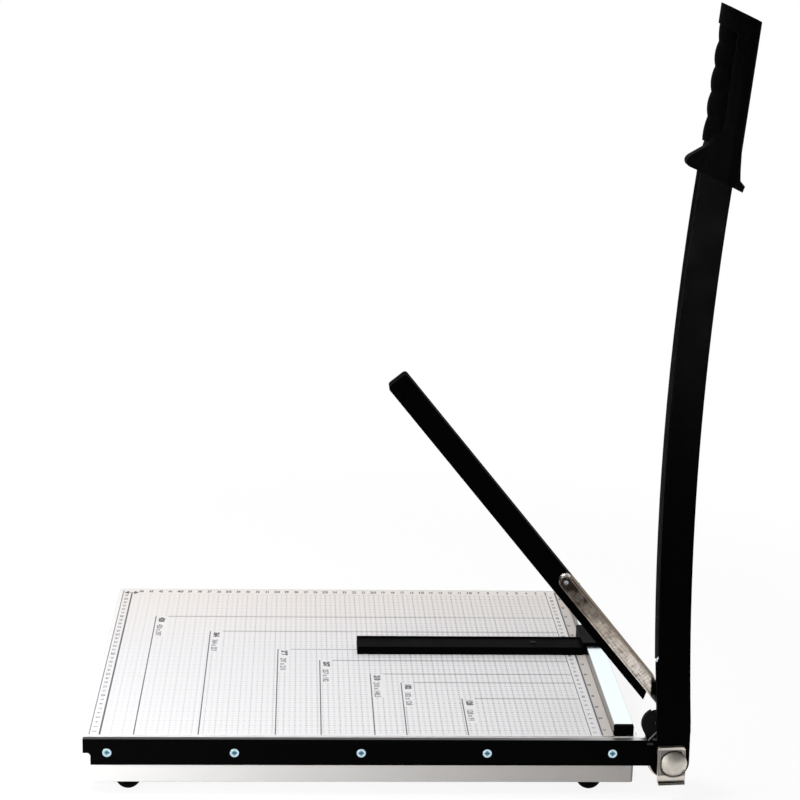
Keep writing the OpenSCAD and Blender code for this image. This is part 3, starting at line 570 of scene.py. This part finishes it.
class Print:
    """One layer of flat ink, a hair above the plate"""

    def __init__(self, layer):
        self.z = BOARD_Z + INK_LIFT + INK_LAYER * layer
        self.verts = []
        self.faces = []

    def add(self, corners, faces):
        n = len(self.verts)
        self.verts += [(RAIL_X + x / MM_PER_M, EDGE_Y + y / MM_PER_M, self.z) for x, y in corners]
        self.faces += [tuple(n + i for i in f) for f in faces]

    def quad(self, x0, y0, x1, y1):
        self.add(((x0, y0), (x1, y0), (x1, y1), (x0, y1)), [(0, 1, 2, 3)])

    def upright(self, x, half, y0, y1):
        """A line away from the cutting edge"""
        self.quad(x - half, y0, x + half, y1)

    def level(self, x0, x1, y, half):
        """A line along the cutting edge"""
        self.quad(x0, y - half, x1, y + half)

    def text(self, words, x, y, size, turn=DOWN, squeeze=1.0, weight=BOLD):
        mesh = glyph(words, weight)
        c, s = math.cos(turn), math.sin(turn)
        corners = []
        for v in mesh.vertices:
            u, w = v.co.x * size * squeeze, v.co.y * size
            corners.append((x + u * c - w * s, y + u * s + w * c))
        self.add(corners, [f.vertices for f in mesh.polygons])

    def make(self, name, material):
        mesh = bpy.data.meshes.new(name)
        mesh.from_pydata(self.verts, [], self.faces)
        mesh.materials.append(material)
        piece = bpy.data.objects.new(name, mesh)
        scene.collection.objects.link(piece)
        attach(piece, "base")


# Places of the main lines, the grid's cell and the sheets as width and depth
LEFT, RIGHT = -449.4, STRIP_LEFT
LEFT_EDGE, INNER = -458.4, -20.0
FRONT, BACK = 10.0, 367.0
CELL, HALF_CELL = 10.0, 5.0
INCH = 25.4
SHEETS = [(420, 297), (364, 257), (297, 210), (257, 182), (210, 148.5), (182, 128), (128, 91)]
# Half widths of the lines
HAIR, FINE, LINE, HEAVY = 0.12, 0.35, 0.5, 0.8
# Half lengths of the grid's dashes, and their half width
LONG_DASH, SHORT_DASH, DASH = 1.3, 0.7, 0.4
# The columns of numbers on the two side scales, and how far a number stays in front of its line
LEFT_NUMBERS, RIGHT_NUMBERS, NUMBER_DROP = -454.4, -15.9, 3.3
# The same for the inch scale, and how far the numbers at the back lie behind the scale's end
INCH_NUMBERS, INCH_DROP, BACK_RISE = RIGHT + 3.2, 3.2, 1.8
# Heights of the numbers on each scale; every fifth one on the left is larger
LEFT_SIZE, LEFT_FIFTH, RIGHT_SIZE, BACK_SIZE, INCH_SIZE = 4.4, 5.2, 4.0, 8.5, 3.8
# A sheet's small label and its width: right of its line, in front of its end, and the height
LABEL_RIGHT, LABEL_DROP, LABEL_SIZE = 5.0, 37.5, 7.4
WIDTH_RIGHT, WIDTH_DROP, WIDTH_SIZE = 6.0, 9.5, 7.6
# The double arrow: its shaft, then the tips, length and half height of its heads
ARROW_Y = BACK - 1.55
SHAFT, SHAFT_HALF = (-452.8, -446.2), 0.75
TIPS, HEAD_LONG, HEAD_HALF = (-457.4, -442.4), 4.8, 4.65
# The bare patch at a sheet's corner, to the right of its line and in front of its end
PATCH_WIDE, PATCH_LONG = 11, 56


def on_label(x, y):
    """True inside the bare patch at a sheet's corner"""
    return any(-w - LINE < x < -w + PATCH_WIDE and d - PATCH_LONG < y < d - 1 for w, d in SHEETS)


def print_grid():
    """Fine upright lines, a cell apart"""
    ink_layer = Print(0)
    for i in range(3, 45):
        x = -CELL * i
        for k in range(2, 74):
            y = HALF_CELL * k
            if y + HALF_CELL < BACK - 2 and not on_label(x, y + HALF_CELL / 2):
                ink_layer.upright(x, HAIR, y, y + HALF_CELL)
    ink_layer.make("print_grid", FAINT_INK)


def print_dots():
    """Rows of short dashes, half a cell apart"""
    ink_layer = Print(1)
    for k in range(3, 73):
        y = HALF_CELL * k
        dash = LONG_DASH if k % 2 == 0 else SHORT_DASH
        for i in range(5, 90):
            x = -HALF_CELL * i
            if y < BACK - 3 and not on_label(x, y):
                ink_layer.level(x - dash, x + dash, y, DASH)
    ink_layer.make("print_dots", DOT_INK)


def print_rows():
    """The line at the left, the small label of each sheet and the numbers of the side scales"""
    ink_layer = Print(2)
    ink_layer.upright(LEFT_EDGE, LINE, FRONT, BACK + 5)
    for w, d in SHEETS:
        ink_layer.text("%d x %g" % (w, d), -w + LABEL_RIGHT, d - LABEL_DROP, LABEL_SIZE)
    for k in range(2, 37):
        fifth = k % 5 == 0
        y = CELL * k - NUMBER_DROP
        ink_layer.text("%d" % k, LEFT_NUMBERS, y, LEFT_FIFTH if fifth else LEFT_SIZE, squeeze=1.2)
        ink_layer.text("%d" % k, RIGHT_NUMBERS, y, RIGHT_SIZE, squeeze=1.3,
                       weight=EXTRA_BOLD if fifth else BOLD)
    ink_layer.make("print_rows", MID_INK)


def print_marks():
    """The strong lines, each sheet's corner and width, the back and inch scales and a double arrow"""
    ink_layer = Print(3)
    ink_layer.upright(LEFT, HEAVY, FRONT, BACK - 4)
    ink_layer.upright(RIGHT, HEAVY, FRONT, BACK + 4)
    ink_layer.upright(INNER, FINE, FRONT, BACK + 4)
    for w, d in SHEETS:
        ink_layer.upright(-w, LINE, FRONT, d)
        ink_layer.level(-w + PATCH_WIDE + 1, INNER, d, LINE)
        ink_layer.text("%g" % w, -w + WIDTH_RIGHT, d - WIDTH_DROP, WIDTH_SIZE, weight=EXTRA_BOLD)
    for i in range(1, 45):
        ink_layer.text("%d" % i, -CELL * i, BACK + BACK_RISE, BACK_SIZE, turn=0,
                       squeeze=0.75 if i % 5 == 0 else 0.5)
    for k in range(1, 15):
        ink_layer.text("%d" % k, INCH_NUMBERS, INCH * k - INCH_DROP, INCH_SIZE,
                       squeeze=2.0 if k < 10 else 1.2, weight=EXTRA_BOLD)
    ink_layer.level(*SHAFT, ARROW_Y, SHAFT_HALF)
    for tip, long in zip(TIPS, (HEAD_LONG, -HEAD_LONG)):
        corners = ((tip, ARROW_Y), (tip + long, ARROW_Y - HEAD_HALF), (tip + long, ARROW_Y + HEAD_HALF))
        ink_layer.add(corners, [(0, 1, 2)])
    ink_layer.make("print_marks", INK)


print_grid()
print_dots()
print_rows()
print_marks()


# Small forms that the solids lack

def loft(name, rings, body, materials, second=()):
    """A solid through like outlines; second lists the (ring, side) faces with the second material"""
    bm = bmesh.new()
    rings = [[bm.verts.new(v) for v in ring] for ring in rings]
    bm.faces.new(rings[0])
    bm.faces.new(rings[-1][::-1])
    for k, (near, far) in enumerate(zip(rings, rings[1:])):
        for i in range(len(near)):
            j = (i + 1) % len(near)
            side = bm.faces.new((near[j], near[i], far[i], far[j]))
            side.material_index = 1 if (k, i) in second else 0
    bmesh.ops.recalc_face_normals(bm, faces=bm.faces)
    mesh = bpy.data.meshes.new(name)
    bm.to_mesh(mesh)
    bm.free()
    for m in materials:
        mesh.materials.append(m)
    piece = bpy.data.objects.new(name, mesh)
    scene.collection.objects.link(piece)
    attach(piece, body)


def farthest(part, way):
    """How far a part reaches in some direction"""
    return max(v.co.dot(way) for v in nodes[part].data.vertices)


def make_shoulder():
    """The arm's slope between its lug and the end of the blade, with bare steel on it"""
    low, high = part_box("knife_arm")
    bottom, top = LUG_TOP - 0.0004, BLADE_END + 0.0042
    slope, wide, inset = 0.0022, 0.0028, 0.00012
    outline = [(0.0, bottom), (0.0, BLADE_END - 0.0006), (slope, top), (wide, top), (wide, bottom)]
    ends = [[(ARM_EDGE + x, y, z) for x, z in outline] for y in (low[1] + inset, high[1] - inset)]
    loft("arm_shoulder", ends, "arm", [MATERIALS["black_paint"], MATERIALS["zinc"]], {(0, 1)})


def make_flange():
    """The low turned-up edge along the back of the gauge bar, up to its slider"""
    low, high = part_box("gauge_bar")
    back, top = high[1] - 0.00003, high[2]
    stop = min(v.co.x for v in nodes["gauge_slider"].data.vertices if v.co.z > top + 0.001)
    thick, tall, sunk, chamfer = 0.0014, 0.0013, 0.0002, 0.0003
    outline = [(thick, -sunk), (0.0, -sunk), (0.0, tall - chamfer), (chamfer, tall), (thick - chamfer, tall),
               (thick, tall - chamfer)]
    ends = [[(x, back - y, top + z) for y, z in outline] for x in (low[0], stop - 0.0004)]
    loft("gauge_flange", ends, "gauge", [SPECIAL["gauge_bar"]])


# The rim's width at steps round the lever's end, from its lower side over its tip to its upper side
RIM_WIDTHS = (0.0005, 0.0006, 0.0008, 0.0010, 0.0012, 0.0014, 0.0017, 0.0020, 0.0022, 0.0024, 0.0024, 0.0024)
RIM_STEP = math.pi / len(RIM_WIDTHS)
RIM_TIP = 6
# The rim's width along the lower side, by distance from the rivet
RIM_START = ((0.03, 0.0), (0.012, 0.0002), (0.004, 0.0004))
RIM_SLOPE = 0.0013
# The edge's sheet over the clamp bar, and how far from the pin it ends
SHEET = 0.00012
SHEET_STOP = 0.050


def make_lever_rim():
    """The clamp lever's turned edge: a rim round its far end, and a sheet over the top of the clamp bar"""
    along = Vector((-math.cos(LEAN), 0, math.sin(LEAN)))
    over = Vector((math.sin(LEAN), 0, math.cos(LEAN)))
    low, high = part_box("clamp_rivet")
    rivet = Vector(((low[0] + high[0]) / 2, 0, (low[2] + high[2]) / 2))
    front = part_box("clamp_lever")[0][1] - 0.00015
    web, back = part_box("clamp_bar")[0][1] - 0.00002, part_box("clamp_bar")[1][1]
    reach = farthest("clamp_lever", along) - rivet.dot(along)
    top = farthest("clamp_bar", over) - rivet.dot(over)
    end = (rivet - CLAMP_PIN).dot(along) - SHEET_STOP
    side = math.pi / 2

    def outline(back_by, way, section):
        """Points of a section given as (distance, y), some way back from the rivet"""
        points = []
        for r, y in section:
            v = rivet - along * back_by + way * r
            points.append((v.x, y, v.z))
        return points

    def ring(back_by, angle, wide):
        """The rim's section: level with the lever's face, then sloped out to the bar"""
        way = math.cos(angle) * along + math.sin(angle) * over
        inner = reach + min(wide - RIM_SLOPE, 0.0) - 0.0003
        outer = reach + wide
        return outline(back_by, way, ((inner, web), (inner, front), (outer - RIM_SLOPE, front), (outer, web)))

    last = top - reach + SHEET
    rings = [ring(s, -side, wide) for s, wide in RIM_START]
    for k, wide in enumerate((*RIM_WIDTHS, last)):
        angle = -side + k * RIM_STEP
        if k > RIM_TIP:
            # The corner doesn't pass the sheet
            wide = min(wide, (top + SHEET) / math.sin(angle) - reach)
        rings.append(ring(0.0, angle, wide))
    # The end painted as a highlight runs from just below the tip to the corner; the other faces of the rim take
    # the darker copy, painted shade
    bright = range(len(RIM_START) + RIM_TIP - 1, len(rings) - 2)
    rings += [ring(s, side, last) for s in (0.004, 0.03, end)]
    shaded_faces = {(k, i) for k in range(len(rings) - 1) if k not in bright for i in range(len(rings[0]))}
    loft("lever_rim", rings, "clamp", [LEVER_END_HIGHLIGHT, SHADED_LEVER_EDGE], shaded_faces)
    # The sheet over the clamp bar takes the same darker copy, painted shade
    section = ((top, web), (top + SHEET, web), (top + SHEET, back), (top, back))
    ends = [outline(s, over, section) for s in (0.0, end)]
    loft("lever_flange", ends, "clamp", [SHADED_LEVER_EDGE])


make_shoulder()
make_flange()
make_lever_rim()


# Camera, fitted to the photograph

YAW, PITCH, ROLL = (math.radians(a) for a in (2.923, 14.806, -1.342))
VIEW_FROM = (-0.09087, -1.83322, 0.79562)
SENSOR, LENS = 36, 92.71


def make_camera():
    forward = Vector((math.sin(YAW) * math.cos(PITCH), math.cos(YAW) * math.cos(PITCH), -math.sin(PITCH)))
    across = Vector((math.cos(YAW), -math.sin(YAW), 0))
    below = forward.cross(across)
    right = math.cos(ROLL) * across + math.sin(ROLL) * below
    down = -math.sin(ROLL) * across + math.cos(ROLL) * below
    data = bpy.data.cameras.new("camera")
    data.sensor_width = SENSOR
    data.lens = LENS
    camera = bpy.data.objects.new("camera", data)
    scene.collection.objects.link(camera)
    turn = Matrix((right, -down, -forward)).transposed().to_4x4()
    camera.matrix_world = Matrix.Translation(VIEW_FROM) @ turn
    scene.camera = camera


# Floor, world and lamps

FLOOR_R, FLOOR_Y = 0.8, 0.12
# Where the floor's shadow begins to fade, and where only white is left
FADE = (0.42, 0.75)
# The floor's colour as a source of bounced light, and the colour and glow that are seen
FLOOR_PALE, FLOOR_FAINT, FLOOR_GLOW = (0.5, 0.5, 0.5, 1), (0.14, 0.14, 0.14, 1), 0.89
SOFT_LIGHT = 0.36


def seen(tree):
    """One where a ray shows the background: straight, in a reflection or through glass"""
    path = node(tree, "ShaderNodeLightPath")
    both = calc(tree, "MAXIMUM", path.outputs["Is Camera Ray"], path.outputs["Is Glossy Ray"])
    return calc(tree, "MAXIMUM", both, path.outputs["Is Transmission Ray"])


def make_floor():
    """A pale disc whose soft shadow fades out to the white of the backdrop"""
    mesh = bpy.data.meshes.new("floor")
    bm = bmesh.new()
    bmesh.ops.create_circle(bm, cap_ends=True, segments=96, radius=FLOOR_R)
    bm.to_mesh(mesh)
    bm.free()
    floor = bpy.data.objects.new("floor", mesh)
    floor.location = (0, FLOOR_Y, 0)
    scene.collection.objects.link(floor)
    m = bpy.data.materials.new("floor")
    m.use_nodes = True
    t = m.node_tree
    t.nodes.clear()
    out = node(t, "ShaderNodeOutputMaterial")
    pale = node(t, "ShaderNodeBsdfDiffuse", Color=FLOOR_PALE)
    faint = node(t, "ShaderNodeBsdfDiffuse", Color=FLOOR_FAINT)
    glow = node(t, "ShaderNodeEmission", Strength=FLOOR_GLOW)
    near = node(t, "ShaderNodeAddShader")
    link(t, faint.outputs[0], near.inputs[0])
    link(t, glow.outputs[0], near.inputs[1])
    white = node(t, "ShaderNodeEmission", Strength=1.0)
    far = length(t, node(t, "ShaderNodeTexCoord").outputs["Object"])
    fade = ramp(t, far, [(FADE[0], 0), (FADE[1], 1)])
    shown = mix_shader(t, fade, near.outputs[0], white.outputs[0])
    link(t, mix_shader(t, seen(t), pale.outputs[0], shown), out.inputs[0])
    mesh.materials.append(m)


def make_world():
    """White to the camera; in reflections white at the back and dark in front, as in the studio"""
    world = bpy.data.worlds.new("studio")
    scene.world = world
    world.use_nodes = True
    t = world.node_tree
    t.nodes.clear()
    out = node(t, "ShaderNodeOutputWorld")
    path = node(t, "ShaderNodeLightPath").outputs
    # From 0 at the front to 1 at the back; the node's third value is its own 0.5
    depth = calc(t, "MULTIPLY_ADD", axes(t, node(t, "ShaderNodeTexCoord").outputs["Generated"])["Y"], 0.5)
    soft = node(t, "ShaderNodeBackground", Strength=SOFT_LIGHT)
    link(t, ramp(t, depth, [(0.0, 0.08), (1, 1)]), soft.inputs["Color"])
    backdrop = node(t, "ShaderNodeBackground", Strength=1.0)
    link(t, ramp(t, depth, [(0.18, 0.015), (0.45, 0.12), (0.8, 1)]), backdrop.inputs["Color"])
    white = node(t, "ShaderNodeBackground", Color=(1, 1, 1, 1), Strength=1.0)
    both = calc(t, "MAXIMUM", path["Is Glossy Ray"], path["Is Transmission Ray"])
    mirrored = mix_shader(t, both, soft.outputs[0], backdrop.outputs[0])
    link(t, mix_shader(t, path["Is Camera Ray"], mirrored, white.outputs[0]), out.inputs[0])


def lamp(name, place, target, size, power, colour=(1, 1, 1), spread=math.pi):
    data = bpy.data.lights.new(name, "AREA")
    data.shape = "RECTANGLE"
    data.size, data.size_y = size
    data.energy = power
    data.color = colour
    data.spread = spread
    obj = bpy.data.objects.new(name, data)
    obj.location = place
    obj.rotation_euler = (Vector(target) - Vector(place)).to_track_quat("-Z", "Y").to_euler()
    obj.visible_camera = False
    scene.collection.objects.link(obj)


make_camera()
make_floor()
make_world()
lamp("key", (-0.8, -0.2, 1.4), (-0.2, -0.05, 0.05), (0.7, 0.7), 17.9)
lamp("side", (-0.47, -0.62, 0.18), (-0.2, -0.17, 0.03), (0.2, 0.2), 2.6)
lamp("front", (0.42, -1.75, 0.25), (0.24, -0.19, 0.50), (0.3, 0.3), 0.2, spread=math.radians(18))
lamp("back", (0.3, 1.8, 1.8), (0, 0, 0.2), (2.2, 1.0), 6, (0.94, 0.98, 1))
